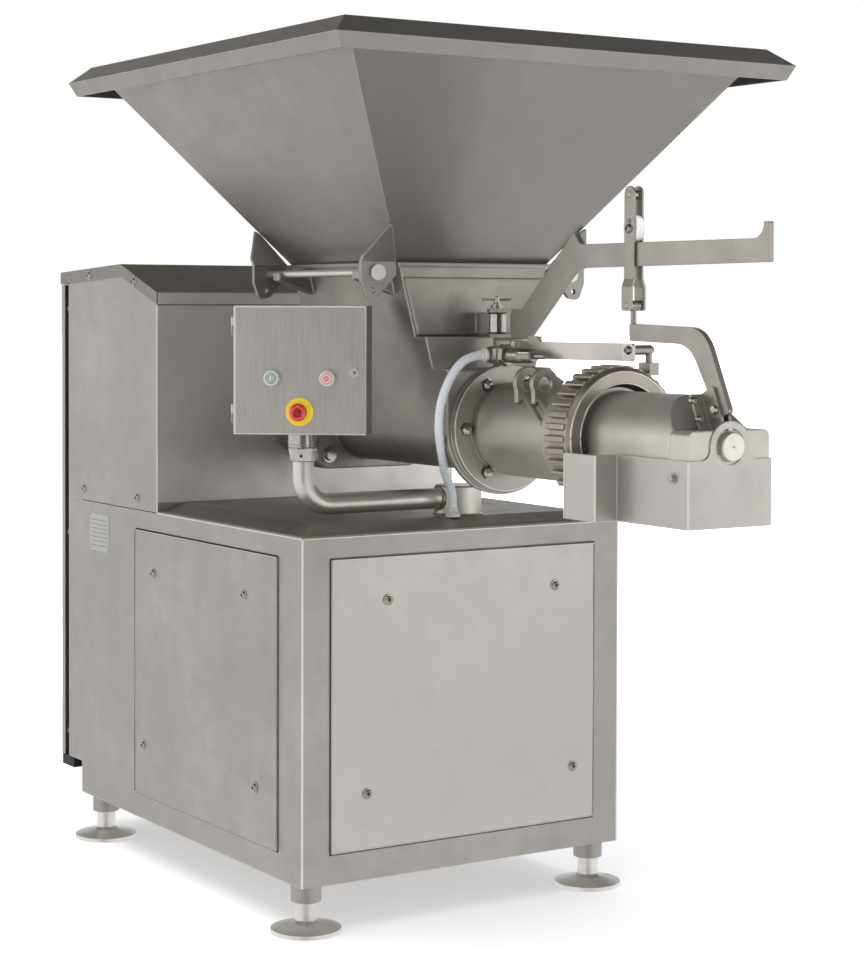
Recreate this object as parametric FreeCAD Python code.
import FreeCAD, Part
import math
import os
from FreeCAD import Vector as V

# Stainless floor-standing meat grinder. Millimetres, +Z up. The origin is on the floor in the
# middle of the four feet. +X is the way the meat comes out, -Y is the operator's side.

# Cabinet
CAB_FRONT = 565.0
CAB_BACK = -566.0
CAB_HALF = 414.0
CAB_BOTTOM = 106.0
CAB_TOP = 844.0
SHEET = 3.0
BELT_BACK = -646.0
BELT_BOTTOM = 184.0
FLANGE = 30.0

# Table top, crowned so that water runs off
TABLE_EDGE = 3.0
TABLE_CROWN = 19.0
CROWN_MARGIN = 70.0

# Access panels
PANEL_GAP = 3.0
PANEL_RETURN = 14.0
PANEL_PROUD = 3.0
PANEL_PEAK = 7.0
PANEL_RIM = 22.0
FRONT_PANEL = (-345.0, 345.0, 171.0, 797.0)
SIDE_PANEL = (-250.0, 459.0, 165.0, 797.0)
FRONT_SCREWS = ((-206.0, 704.0), (234.0, 707.0), (-257.0, 292.0), (285.0, 293.0))
SIDE_SCREWS = ((-143.0, 701.0), (313.0, 700.0), (-198.0, 285.0), (364.0, 286.0))
SCREW_R = 4.0
SCREW_HEAD_R = 9.0
SCREW_HEAD = 5.5
HOLE_CLEARANCE = 0.15

# Feet
FOOT_X = 510.0
FOOT_Y = 373.0
FOOT_R = 76.0
FOOT_EDGE = 9.0
FOOT_RISE = 20.0
STEM_R = 23.0
STEM_TOP = 66.0
SOCKET_R = 33.0
ANCHOR_R = 6.5
ANCHOR_OFFSET = 58.0

# Frame inside the cabinet
POST = 40.0
RAIL = 40.0
BED_THICK = 12.0
MOTOR_RAIL_TOP = 190.0

# Rear housing over the gearbox
HOUSE_FRONT = -133.0
HOUSE_BACK = BELT_BACK
ROOF_FRONT_Z = 1365.0
ROOF_PEAK_X = -330.0
ROOF_PEAK_Z = 1433.0
ROOF_BACK_X = -690.0
ROOF_BACK_Z = 1416.0
ROOF_LIP = 30.0
LID_GAP = 0.2
LID_SCREWS = ((-513.0, 1407.0), (-253.0, 1390.0))
HOUSE_SCREWS = ((-551.0, 873.0), (-240.0, 873.0))

# Rear cover on stand-offs
COVER_BACK = -690.0
COVER_RETURN = 17.0
COVER_TOP = 1385.0
COVER_BOTTOM = 184.0
STANDOFF_R = 10.0
STANDOFF_INSET = 16.0

# Drive
AXIS_Z = 1074.0
MOTOR_Z = 345.0
MOTOR_R = 130.0
MOTOR_X = (-470.0, -70.0)
MOTOR_FEET_X = (MOTOR_X[0] + 90, MOTOR_X[1] - 110)
SHAFT_R = 19.0
PULLEY_X = -612.0
PULLEY_WIDTH = 58.0
MOTOR_PULLEY_R = 80.0
GEAR_PULLEY_R = 150.0
BELT_COUNT = 3
BELT_PITCH = 18.0
BELT_WIDTH = 12.0
BELT_DEPTH = 9.0
BELT_PROUD = 2.0
BELT_CLEARANCE = 0.4
RUNNING_FIT = 0.06
GEAR_HALF = 150.0
GEAR_LOW = AXIS_Z - 159.0
GEAR_HIGH = AXIS_Z + 151.0
GEAR_NECK_R = 112.0
SEAL_R = 52.0

# Trough below the hopper
TROUGH_BACK = 120.0
TROUGH_FLANGE = 26.0
TROUGH_FRONT = 590.0
STEP_FRONT = 632.0
NECK_FRONT = 690.0
TROUGH_TOP = 1427.0
TROUGH_HALF = 194.0
TROUGH_R = 98.0
TROUGH_WALL = 10.0
STEP_Z = 1268.0
NECK_Z = 1201.0
RIM_WIDTH = 12.0
RIM_THICK = 8.0
NOSE_PLATE = 14.0
NOSE_R = 143.0
NOSE_TOP = NECK_Z - 4.0
BACK_BOLTS = ((108.0, 988.0), (155.0, 1190.0))
BACK_BOLT_R = 8.0

# Barrel
BARREL_FLANGE = 16.0
BARREL_FLANGE_R = 134.0
BARREL_BOLT_R = 107.0
BARREL_BOLTS = 6
BARREL_STUD_R = 6.0
BARREL_NECK_R = 92.0
BARREL_R = 100.0
BARREL_BORE = 84.0
HEAD_R = 120.0
HEAD_START = 1010.0
BARREL_END = 1085.0
CHAMBER_R = 109.0
CHAMBER_START = 1030.0
PLATE_X = 1063.0
PLATE_R = 112.5
PLATE_THICK = 20.0
PLATE_FIT = 0.3
EAR_X = (868.0, 928.0)
EAR_THICK = 12.0
EAR_Y = -58.0
EAR_Z = 1176.0
EAR_R = 32.0
EAR_BORE = 16.0

# Feed screw, knife and plate
SCREW_OUTER = 82.0
CORE_R = 34.0
SCREW_START = 160.0
SCREW_END = 1040.0
SCREW_PITCH = 160.0
FLIGHT_THICK = 14.0
SPINDLE_R = 14.0
SPINDLE_SQUARE = 26.0
KNIFE_R = 105.0
KNIFE_THICK = 15.0
KNIFE_HUB = 27.0
KNIFE_BLADE = 24.0
PLATE_HOLE_R = 7.0
PLATE_ROWS = ((40.0, 8), (58.0, 12), (76.0, 16))

# Ring nut
RING_BACK = 1054.0
RING_FRONT = 1128.0
RING_TIP_R = 144.0
RING_ROOT_R = 131.0
RING_FACE_R = 132.0
RING_BORE = 121.0
RING_LIP_R = 107.0
RING_LIP_X = 1108.0
TOOTH_COUNT = 36
TOOTH_WIDTH = 14.0
TOOTH_FRONT = 1116.0

# Discharge bridge
BRIDGE_FLANGE_R = 118.0
BRIDGE_FLANGE_X = (1085.4, 1107.5)
BRIDGE_R = 93.0
BRIDGE_WALL = 6.0
BRIDGE_START = 1133.0
BRIDGE_TOP_END = 1328.0
BRIDGE_END = 1448.0
DECK_Z = 1104.0
DECK_HALF = 96.8
BRIDGE_BOTTOM = 985.0
PIN_R = 27.5
PIN_OUT = 13.0
GUARD_SHEET = 3.0
GUARD_TOP = 1050.0
GUARD_BOTTOM = 922.0
GUARD_HALF = 100.0
GUARD_STEP_X = 1232.0
GUARD_WIDE = 151.0
GUARD_BACK = 1133.0
GUARD_LUG_R = 48.0
GUARD_EYE_R = 34.0
GUARD_FILLET = 20.0
GUARD_BOLT = (1405.0, 1016.0)

# Crane arm and trolley
PIVOT_X = 678.0
PIVOT_PIN_R = 8.0
PIVOT_LOW = 1275.0
PIVOT_HIGH = 1320.0
PIVOT_BOSS_R = 17.0
FORK_PLATE = 8.0
FORK_HALF = 21.0
ARM_THICK = 13.0
RAIL_LOW = 1412.0
RAIL_TOP = 1460.0
RAIL_END = 1560.0
RAIL_HOOK = 30.0
TROLLEY_X = 1155.0
STRAP_WIDTH = 31.0
STRAP_THICK = 4.0
STRAP_TOP = 1571.0
STRAP_BOTTOM = 1326.0
STRAP_KNEE = 1372.0
STRAP_JOGGLE = 17.0
STRAP_IN = 8.0
STRAP_SPREAD = 6.0
ROLLER_R = 27.0
ROLLER_HALF = 6.9
ROLLER_GAP = 0.3
AXLE_R = 6.0
AXLE_Z = RAIL_TOP + ROLLER_GAP + ROLLER_R
TROLLEY_BOLTS = (STRAP_BOTTOM + 10, AXLE_Z, STRAP_TOP - 17)
LIFT_THICK = 12.0
LIFT_LOW = 1266.5
LIFT_HIGH = 1300.0
LIFT_ROD_R = 5.5
LIFT_BOLT = (1421.0, 1142.0)
BRACKET_THICK = 6.0
BRACKET_HALF = 38.0

# Ring lock strap and sensor
LOCK_PIN_X = 752.0
LOCK_LOW = NECK_Z + 24.0
LOCK_HIGH = LOCK_LOW + 35.5
LOCK_THICK = 8.0
LOCK_BEND = (1076.0, 36.0)
LOCK_END = (1104.0, 41.0)
LOCK_BOW = 24.0
LOCK_BOLT_R = 4.0
LOCK_PIN_R = 7.0
LOCK_EYE_R = 15.0
LOCK_TAB = math.hypot(LOCK_END[0] - LOCK_BEND[0], LOCK_END[1] - LOCK_BEND[1])
LOCK_BOLT = (LOCK_TAB - 12, (LOCK_LOW + LOCK_HIGH) / 2 + 4)
BLOCK_LOW = 1195.4
BLOCK_Y = 58.0
SENSOR_Z = NECK_Z + 30.0
SENSOR_R = 13.0
SENSOR_NUT_R = 20.0
SENSOR_TAB = (34.0, 38.0)
SENSOR_ELBOW = (738.0, -50.0)
SENSOR_YAW = 5.0

# Hopper
HOP_BOTTOM = (120.0, 587.0, -194.0, 194.0)
HOP_HALF = 576.0
HOP_TOP = (-243.0, 935.0, 45.0 - HOP_HALF, HOP_HALF - 45.0)
HOP_LIP = (-273.0, 980.0, -HOP_HALF, HOP_HALF)
HOP_RETURN = (-262.0, 968.0, 16.0 - HOP_HALF, HOP_HALF - 16.0)
HOP_TOP_Z = 1893.0
HOP_LIP_Z = 1856.0
HOP_RETURN_Z = 1825.0
HOP_SHEET = 4.0
HOP_SEAT = 0.4
ROD_Y = 252.0
ROD_Z = 1405.0
ROD_R = 8.0
ROD_HEAD_R = 18.0
EAR_PLATE = 10.0
LUG_X = (170.0, 520.0)
LUG_WIDTH = 26.0

# Control box on its post
POST_X = 436.0
POST_Y = -340.0
PIPE_R = 23.0
PIPE_Z = 903.0
PIPE_BEND = 62.0
PEDESTAL = (436.0, 60.0)
PEDESTAL_R = 53.0
PEDESTAL_TOP = 932.0
BOX_YAW = 52.0
BOX_WIDE = 286.0
BOX_LOW = 1058.0
BOX_HIGH = 1334.0
BOX_DEPTH = 100.0
BOX_SHEET = 2.0
DOOR_DEPTH = 16.0
COLLAR_LOW = 998.0
BUTTON_Z = 1179.0
BUTTON_X = 60.0
BUTTON_R = 13.0
ESTOP_Z = 1107.0
ESTOP_R = 19.5
LATCH_X = 118.0
LATCH_Z = 1192.0

# Sensor hose: its route, point by point, from the gland to the sensor's elbow
HOSE_R = 9.5
HOSE_ROUTE = (
    (495.0, 8.0, 880.0), (495.0, 8.0, 922.0), (520.0, -16.0, 956.0), (590.0, -82.0, 976.0),
    (656.0, -140.0, 1016.0), (706.0, -174.0, 1068.0), (730.0, -184.0, 1128.0),
    (736.0, -170.0, 1184.0), (738.0, -140.0, 1219.0), (738.0, -112.0, 1231.0), (738.0, -68.1, 1231.0),
)

os.makedirs("parts", exist_ok=True)
PARTS = {}


# Shape helpers

def block(x, y, z):
    return Part.makeBox(x[1] - x[0], y[1] - y[0], z[1] - z[0], V(x[0], y[0], z[0]))


def rod(start, end, radius):
    start, end = V(*start), V(*end)
    return Part.makeCylinder(radius, (end - start).Length, start, end - start)


def tube(start, end, outer, inner):
    return rod(start, end, outer).cut(rod(start, end, inner))


def corner(before, at, after, radius):
    """Start, middle and end of the round corner at a point of an outline."""
    at = V(at[0], at[1], 0)
    back = V(before[0], before[1], 0).sub(at).normalize()
    on = V(after[0], after[1], 0).sub(at).normalize()
    if not radius:
        return at, at, at
    half = back.getAngle(on) / 2
    reach = radius / math.tan(half)
    split = back.add(on).normalize()
    middle = at.add(split.multiply(radius / math.sin(half) - radius))
    return at.add(back.multiply(reach)), middle, at.add(on.multiply(reach))


def outline(points, axis, at):
    """A closed wire across an axis. A point's third number is the radius of its corner."""
    def place(p):
        return {"X": V(at, p.x, p.y), "Y": V(p.x, at, p.y), "Z": V(p.x, p.y, at)}[axis]
    bends = []
    for i, point in enumerate(points):
        radius = point[2] if len(point) > 2 else 0
        bends.append(corner(points[i - 1], point, points[(i + 1) % len(points)], radius))
    edges = []
    for i, (start, middle, end) in enumerate(bends):
        if start.distanceToPoint(end) > 1e-6:
            edges.append(Part.Arc(place(start), place(middle), place(end)).toShape())
        follow = bends[(i + 1) % len(bends)][0]
        if end.distanceToPoint(follow) > 1e-6:
            edges.append(Part.makeLine(place(end), place(follow)))
    return Part.Wire(edges)


def slab(points, axis, low, high):
    """The outline, made solid from low to high along its axis."""
    along = {"X": V(high - low, 0, 0), "Y": V(0, high - low, 0), "Z": V(0, 0, high - low)}[axis]
    return Part.Face(outline(points, axis, low)).extrude(along)


def turned(profile, base, direction):
    """A turned piece. The profile's points are (distance along the axis, radius)."""
    points = [V(radius, 0, along) for along, radius in profile]
    face = Part.Face(Part.makePolygon(points + points[:1]))
    solid = face.revolve(V(0, 0, 0), V(0, 0, 1), 360)
    solid.Placement = FreeCAD.Placement(V(*base), FreeCAD.Rotation(V(0, 0, 1), V(*direction)))
    return solid


def between(low, high):
    """A solid between two matching loops of corners, with flat sides."""
    faces = [Part.Face(Part.makePolygon([V(*p) for p in loop + loop[:1]])) for loop in (low, high)]
    for i in range(len(low)):
        j = (i + 1) % len(low)
        side = [V(*low[i]), V(*low[j]), V(*high[j]), V(*high[i]), V(*low[i])]
        faces.append(Part.Face(Part.makePolygon(side)))
    shell = Part.Shell(faces)
    shell.sewShape()
    solid = Part.Solid(shell)
    if solid.Volume < 0:
        solid.reverse()
    return solid


def rectangle(x0, x1, y0, y1, z, grow=0.0):
    return [(x0 - grow, y0 - grow, z), (x1 + grow, y0 - grow, z),
            (x1 + grow, y1 + grow, z), (x0 - grow, y1 + grow, z)]


def fused(pieces):
    whole = pieces[0].fuse(pieces[1:]) if len(pieces) > 1 else pieces[0]
    return whole.removeSplitter()


def moved(shape, x=0.0, y=0.0, z=0.0):
    copy = shape.copy()
    copy.translate(V(x, y, z))
    return copy


def turned_about_x(shape, angle):
    copy = shape.copy()
    copy.rotate(V(0, 0, AXIS_Z), V(1, 0, 0), angle)
    return copy


def mirrored_y(shape):
    return shape.mirror(V(0, 0, 0), V(0, 1, 0))


def add(name, *solids):
    PARTS[name] = solids[0] if len(solids) == 1 else Part.makeCompound(list(solids))


def button_head(base, direction, shank):
    """A button-head screw with a washer face, its head standing on the base point."""
    head = ((-shank, 0), (-shank, SCREW_R), (0, SCREW_R), (0, SCREW_HEAD_R),
            (SCREW_HEAD * 0.35, SCREW_HEAD_R), (SCREW_HEAD * 0.8, SCREW_HEAD_R * 0.72),
            (SCREW_HEAD, SCREW_HEAD_R * 0.4), (SCREW_HEAD, 0))
    return turned(head, base, direction)


def hex_bolt(base, direction, radius, washer, shank):
    """A hexagon bolt with its washer, the washer lying on the base point."""
    wide = radius * 1.7
    body = turned(((-shank, 0), (-shank, radius), (0, radius), (0, wide * 1.35),
                   (washer, wide * 1.35), (washer, 0)), base, direction)
    points = [(wide * math.cos(math.radians(60 * i)), wide * math.sin(math.radians(60 * i)))
              for i in range(6)]
    head = slab(points, "Z", washer, washer + radius * 1.3)
    head.Placement = FreeCAD.Placement(V(*base), FreeCAD.Rotation(V(0, 0, 1), V(*direction)))
    return fused([body, head])


def acorn_nut(base, direction, radius, shank):
    """A domed nut on a washer, on the end of its stud."""
    wide = radius * 1.9
    stud = ((-shank, 0), (-shank, radius), (0, radius)) if shank else ((0, 0),)
    profile = stud + ((0, wide * 1.25), (2, wide * 1.25), (2, wide), (radius * 1.2, wide),
                      (radius * 2.0, wide * 0.8), (radius * 2.6, wide * 0.4), (radius * 2.7, 0))
    return turned(profile, base, direction)


# Cabinet

def cabinet_side(inset):
    """The cabinet's outline from the side, a step in at the bottom of the belt space."""
    return ((CAB_BACK + inset, CAB_BOTTOM + inset), (CAB_FRONT - inset, CAB_BOTTOM + inset),
            (CAB_FRONT - inset, CAB_TOP), (BELT_BACK + inset, CAB_TOP),
            (BELT_BACK + inset, BELT_BOTTOM + inset), (CAB_BACK + inset, BELT_BOTTOM + inset))


def panel_hole(span):
    """The opening behind a panel, as (low, high) pairs across the face."""
    return ((span[0] - PANEL_GAP, span[1] + PANEL_GAP), (span[2] - PANEL_GAP, span[3] + PANEL_GAP))


def cabinet():
    shell = slab(cabinet_side(0), "Y", -CAB_HALF, CAB_HALF)
    room = slab(cabinet_side(SHEET), "Y", SHEET - CAB_HALF, CAB_HALF - SHEET)
    room = room.cut(block((CAB_BACK, CAB_BACK + SHEET), (-CAB_HALF, CAB_HALF), (BELT_BOTTOM, CAB_TOP)))
    shell = shell.cut(room)
    seat = PANEL_RETURN + SHEET - PANEL_PROUD
    rim = PANEL_RIM
    wide, tall = panel_hole(FRONT_PANEL)
    frame = block((CAB_FRONT - seat, CAB_FRONT), (wide[0] - SHEET, wide[1] + SHEET),
                  (tall[0] - SHEET, tall[1] + SHEET))
    shell = shell.fuse(frame)
    shell = shell.cut(block((CAB_FRONT - seat + SHEET, CAB_FRONT), wide, tall))
    shell = shell.cut(block((CAB_FRONT - seat, CAB_FRONT), (wide[0] + rim, wide[1] - rim),
                            (tall[0] + rim, tall[1] - rim)))
    wide, tall = panel_hole(SIDE_PANEL)
    for side in (-1, 1):
        low, high = sorted((side * CAB_HALF, side * (CAB_HALF - seat)))
        inner = sorted((side * CAB_HALF, side * (CAB_HALF - seat + SHEET)))
        frame = block((wide[0] - SHEET, wide[1] + SHEET), (low, high), (tall[0] - SHEET, tall[1] + SHEET))
        shell = shell.fuse(frame)
        shell = shell.cut(block(wide, inner, tall))
        shell = shell.cut(block((wide[0] + rim, wide[1] - rim), (low, high),
                                (tall[0] + rim, tall[1] - rim)))
    back = block((BELT_BACK, BELT_BACK + SHEET), (FLANGE - CAB_HALF, CAB_HALF - FLANGE),
                 (BELT_BOTTOM + FLANGE, CAB_TOP))
    shell = shell.cut(back)
    shell = shell.cut(rod((CAB_BACK - 1, 0, MOTOR_Z), (CAB_BACK + SHEET + 1, 0, MOTOR_Z), SHAFT_R * 2.4))
    return shell.removeSplitter()


def pan(span):
    """A pan-shaped access panel, cross-broken so that its middle stands proud, lying in X-Z."""
    x0, x1, z0, z1 = span
    middle = ((x0 + x1) / 2, (z0 + z1) / 2)

    def pyramid(grow, lift):
        corners = [(x0 + grow, 0, z0 + grow), (x1 - grow, 0, z0 + grow),
                   (x1 - grow, 0, z1 - grow), (x0 + grow, 0, z1 - grow)]
        corners = [(x, lift, z) for x, _, z in corners]
        peak = (middle[0], lift - PANEL_PEAK, middle[1])
        faces = []
        for i in range(4):
            loop = [V(*corners[i]), V(*corners[(i + 1) % 4]), V(*peak), V(*corners[i])]
            faces.append(Part.Face(Part.makePolygon(loop)))
        faces.append(Part.Face(Part.makePolygon([V(*c) for c in corners + corners[:1]])))
        shell = Part.Shell(faces)
        shell.sewShape()
        solid = Part.Solid(shell)
        if solid.Volume < 0:
            solid.reverse()
        return solid

    outer = block((x0, x1), (0, PANEL_RETURN), (z0, z1)).fuse(pyramid(0, 0))
    inner = block((x0 + SHEET, x1 - SHEET), (SHEET, PANEL_RETURN), (z0 + SHEET, z1 - SHEET))
    inner = inner.fuse(pyramid(SHEET, SHEET))
    return outer.cut(inner).removeSplitter()


def panel_lift(span, x, z):
    """How far the cross-broken face stands proud of its edge at a point."""
    x0, x1, z0, z1 = span
    across = min(x - x0, x1 - x) / ((x1 - x0) / 2)
    up = min(z - z0, z1 - z) / ((z1 - z0) / 2)
    return PANEL_PEAK * min(across, up)


def side_screw_set(span, spots):
    """Screws with their heads on the face of a panel that lies in X-Z, facing -Y."""
    screws = []
    for x, z in spots:
        lift = panel_lift(span, x, z)
        shank = lift + PANEL_RETURN - 2
        screws.append(button_head((x, -lift - 0.2, z), (0, -1, 0), shank))
    return screws


def with_holes(panel, spots, reach):
    for x, z in spots:
        panel = panel.cut(rod((x, -reach, z), (x, reach, z), SCREW_R + HOLE_CLEARANCE))
    return panel


side_pan = pan(SIDE_PANEL)
side_pan = with_holes(side_pan, SIDE_SCREWS, 2 * PANEL_RETURN)
left_pan = moved(side_pan, y=-CAB_HALF - PANEL_PROUD)
add("left_panel", left_pan)
add("right_panel", mirrored_y(left_pan))
front_pan = with_holes(pan(FRONT_PANEL), FRONT_SCREWS, 2 * PANEL_RETURN)
front_set = side_screw_set(FRONT_PANEL, FRONT_SCREWS)
to_front = FreeCAD.Placement(V(CAB_FRONT + PANEL_PROUD, 0, 0), FreeCAD.Rotation(V(0, 0, 1), 90))
add("front_panel", front_pan.transformGeometry(to_front.toMatrix()))
left_set = [moved(s, y=-CAB_HALF - PANEL_PROUD) for s in side_screw_set(SIDE_PANEL, SIDE_SCREWS)]
right_set = [mirrored_y(s) for s in left_set]
front_set = [s.transformGeometry(to_front.toMatrix()) for s in front_set]


def table_top():
    """The crowned top of the cabinet, in front of the housing."""
    low = CAB_TOP + TABLE_EDGE

    def crown(inset, lift):
        x0, x1 = HOUSE_FRONT + inset, CAB_FRONT - inset
        half = CAB_HALF - inset
        base = rectangle(x0, x1, -half, half, low + lift)
        top = rectangle(x0, x1 - CROWN_MARGIN, CROWN_MARGIN - half, half - CROWN_MARGIN,
                        low + TABLE_CROWN + lift)
        return between(base, top)

    sheet = crown(0, 0).cut(crown(SHEET, -SHEET))
    edge = block((HOUSE_FRONT, CAB_FRONT), (-CAB_HALF, CAB_HALF), (CAB_TOP, low))
    edge = edge.cut(block((HOUSE_FRONT + SHEET, CAB_FRONT - SHEET), (SHEET - CAB_HALF, CAB_HALF - SHEET),
                          (CAB_TOP, low)))
    return fused([sheet, edge])


add("table_top", table_top())

# Feet
def foot(x, y):
    side = math.copysign(1, y)
    disc = turned(((0, 0), (0, FOOT_R), (FOOT_EDGE, FOOT_R), (FOOT_RISE, STEM_R + 8),
                   (FOOT_RISE + 6, STEM_R), (STEM_TOP + 24, STEM_R), (STEM_TOP + 24, 0)),
                  (x, y, 0), (0, 0, 1))
    hole = rod((x, y + side * ANCHOR_OFFSET, -1), (x, y + side * ANCHOR_OFFSET, FOOT_RISE + 6), ANCHOR_R)
    return disc.cut(hole)


def socket(x, y):
    return tube((x, y, STEM_TOP), (x, y, CAB_BOTTOM), SOCKET_R, STEM_R + 0.3)


corners = [(sx * FOOT_X, sy * FOOT_Y) for sx in (-1, 1) for sy in (-1, 1)]
add("levelling_feet", *[foot(x, y) for x, y in corners])
add("cabinet_shell", fused([cabinet()] + [socket(x, y) for x, y in corners]))


def machine_frame():
    """Posts over the feet, with rails that carry the gearbox bed and the motor."""
    half = POST / 2
    low = CAB_BOTTOM + SHEET
    top = CAB_TOP - BED_THICK
    pieces = [block((x - half, x + half), (y - half, y + half), (low, top)) for x, y in corners]
    for z in (top - RAIL, MOTOR_RAIL_TOP - RAIL):
        for sy in (-1, 1):
            pieces.append(block((-FOOT_X, FOOT_X), (sy * FOOT_Y - half, sy * FOOT_Y + half), (z, z + RAIL)))
    for x in (-FOOT_X, HOUSE_FRONT - half, FOOT_X):
        pieces.append(block((x - half, x + half), (-FOOT_Y, FOOT_Y), (top - RAIL, top)))
    for x in MOTOR_FEET_X:
        pieces.append(block((x - half, x + half), (-FOOT_Y, FOOT_Y), (MOTOR_RAIL_TOP - RAIL, MOTOR_RAIL_TOP)))
    return fused(pieces)


bed_half = CAB_HALF - SHEET - 1
bed = block((CAB_BACK + SHEET + 1, HOUSE_FRONT - SHEET - 1), (-bed_half, bed_half),
            (CAB_TOP - BED_THICK, CAB_TOP))
add("machine_frame", machine_frame().fuse(bed))


# Rear housing, lid and cover

def roof_z(x, drop=0.0):
    if x > ROOF_PEAK_X:
        share = (x - ROOF_PEAK_X) / (HOUSE_FRONT - ROOF_PEAK_X)
        return ROOF_PEAK_Z + share * (ROOF_FRONT_Z - ROOF_PEAK_Z) - drop
    share = (x - ROOF_PEAK_X) / (ROOF_BACK_X - ROOF_PEAK_X)
    return ROOF_PEAK_Z + share * (ROOF_BACK_Z - ROOF_PEAK_Z) - drop


def rear_housing():
    drop = SHEET + LID_GAP
    outline_side = ((HOUSE_FRONT, CAB_TOP), (HOUSE_FRONT, ROOF_FRONT_Z - drop),
                    (ROOF_PEAK_X, ROOF_PEAK_Z - drop), (HOUSE_BACK, roof_z(HOUSE_BACK, drop)),
                    (HOUSE_BACK, CAB_TOP))
    walls = slab(outline_side, "Y", -CAB_HALF, CAB_HALF)
    walls = walls.cut(block((HOUSE_BACK + SHEET, HOUSE_FRONT - SHEET), (SHEET - CAB_HALF, CAB_HALF - SHEET),
                            (CAB_TOP, ROOF_PEAK_Z)))
    walls = walls.cut(block((HOUSE_BACK, HOUSE_BACK + SHEET), (FLANGE - CAB_HALF, CAB_HALF - FLANGE),
                            (CAB_TOP, ROOF_FRONT_Z)))
    walls = walls.cut(rod((HOUSE_FRONT - SHEET, 0, AXIS_Z), (HOUSE_FRONT, 0, AXIS_Z), GEAR_NECK_R + 1))
    return walls


def housing_lid():
    front = HOUSE_FRONT + SHEET + LID_GAP
    half = CAB_HALF + LID_GAP
    outer = slab(((front, ROOF_FRONT_Z - ROOF_LIP), (front, ROOF_FRONT_Z), (ROOF_PEAK_X, ROOF_PEAK_Z),
                  (ROOF_BACK_X, ROOF_BACK_Z), (ROOF_BACK_X, ROOF_BACK_Z - ROOF_LIP),
                  (ROOF_PEAK_X, ROOF_PEAK_Z - ROOF_LIP)), "Y", -half - SHEET, half + SHEET)
    inner = slab(((front - SHEET, ROOF_FRONT_Z - 2 * ROOF_LIP), (front - SHEET, ROOF_FRONT_Z - SHEET),
                  (ROOF_PEAK_X, ROOF_PEAK_Z - SHEET), (ROOF_BACK_X + SHEET, ROOF_BACK_Z - SHEET),
                  (ROOF_BACK_X + SHEET, ROOF_FRONT_Z - 2 * ROOF_LIP)), "Y", -half, half)
    return outer.cut(inner)


housing = rear_housing()
lid = housing_lid()
housing_screws = []
for side in (-1, 1):
    lid_face = side * (CAB_HALF + LID_GAP + SHEET)
    for x, z in LID_SCREWS:
        hole = rod((x, side * (CAB_HALF - 8), z), (x, side * (CAB_HALF + 12), z), SCREW_R + HOLE_CLEARANCE)
        lid = lid.cut(hole)
        housing = housing.cut(hole)
        housing_screws.append(button_head((x, lid_face, z), (0, side, 0), 3 * SHEET))
    for x, z in HOUSE_SCREWS:
        hole = rod((x, side * (CAB_HALF - 8), z), (x, side * (CAB_HALF + 12), z), SCREW_R + HOLE_CLEARANCE)
        housing = housing.cut(hole)
        housing_screws.append(button_head((x, side * CAB_HALF, z), (0, side, 0), 2 * SHEET))
add("rear_housing", housing)
add("housing_lid", lid)
add("panel_screws", *front_set, *left_set, *right_set, *housing_screws)

cover = block((COVER_BACK, COVER_BACK + COVER_RETURN), (-CAB_HALF, CAB_HALF), (COVER_BOTTOM, COVER_TOP))
cover = cover.cut(block((COVER_BACK + SHEET, COVER_BACK + COVER_RETURN), (SHEET - CAB_HALF, CAB_HALF - SHEET),
                        (COVER_BOTTOM + SHEET, COVER_TOP - SHEET)))
standoffs = []
for side in (-1, 1):
    for z in (COVER_BOTTOM + 60, (COVER_BOTTOM + COVER_TOP) / 2 - 30, COVER_TOP - 60):
        y = side * (CAB_HALF - STANDOFF_INSET)
        standoffs.append(rod((COVER_BACK + SHEET, y, z), (BELT_BACK, y, z), STANDOFF_R))
add("rear_cover", cover.fuse(standoffs))
add("rear_buffer", block((COVER_BACK + 4, BELT_BACK + 30), (-CAB_HALF, CAB_HALF),
                         (BELT_BOTTOM - 26, BELT_BOTTOM)))


# Drive: motor, belts and gearbox

def motor():
    """A foot-mounted motor with a finned case, its shaft end towards the belt space."""
    x0, x1 = MOTOR_X
    body = turned(((x0, 0), (x0, 60), (x0 + 12, 60), (x0 + 12, MOTOR_R), (x0 + 60, MOTOR_R),
                   (x0 + 60, MOTOR_R - 8), (x1 - 60, MOTOR_R - 8), (x1 - 60, MOTOR_R),
                   (x1 - 14, MOTOR_R), (x1, MOTOR_R - 14), (x1, 0)), (0, 0, MOTOR_Z), (1, 0, 0))
    fins = []
    for i in range(10):
        fin = block((x0 + 60, x1 - 60), (-2, 2), (MOTOR_Z + MOTOR_R - 10, MOTOR_Z + MOTOR_R + 6))
        fin.rotate(V(0, 0, MOTOR_Z), V(1, 0, 0), 36 * i + 18)
        fins.append(fin)
    feet = []
    for x in MOTOR_FEET_X:
        feet.append(block((x - 20, x + 20), (-120, 120), (MOTOR_RAIL_TOP, MOTOR_RAIL_TOP + 12)))
        for side in (-1, 1):
            low, high = sorted((side * 70, side * 86))
            feet.append(block((x - 20, x + 20), (low, high), (MOTOR_RAIL_TOP, MOTOR_Z - 60)))
    box_top = MOTOR_Z + MOTOR_R + 56
    terminal = block((x0 + 150, x0 + 250), (-55, 55), (MOTOR_Z + MOTOR_R - 30, box_top))
    whole = fused([body, terminal] + fins + feet)
    bore = rod((x0 - 1, 0, MOTOR_Z), (x0 + 70, 0, MOTOR_Z), SHAFT_R + RUNNING_FIT)
    return whole.cut(bore)


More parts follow.
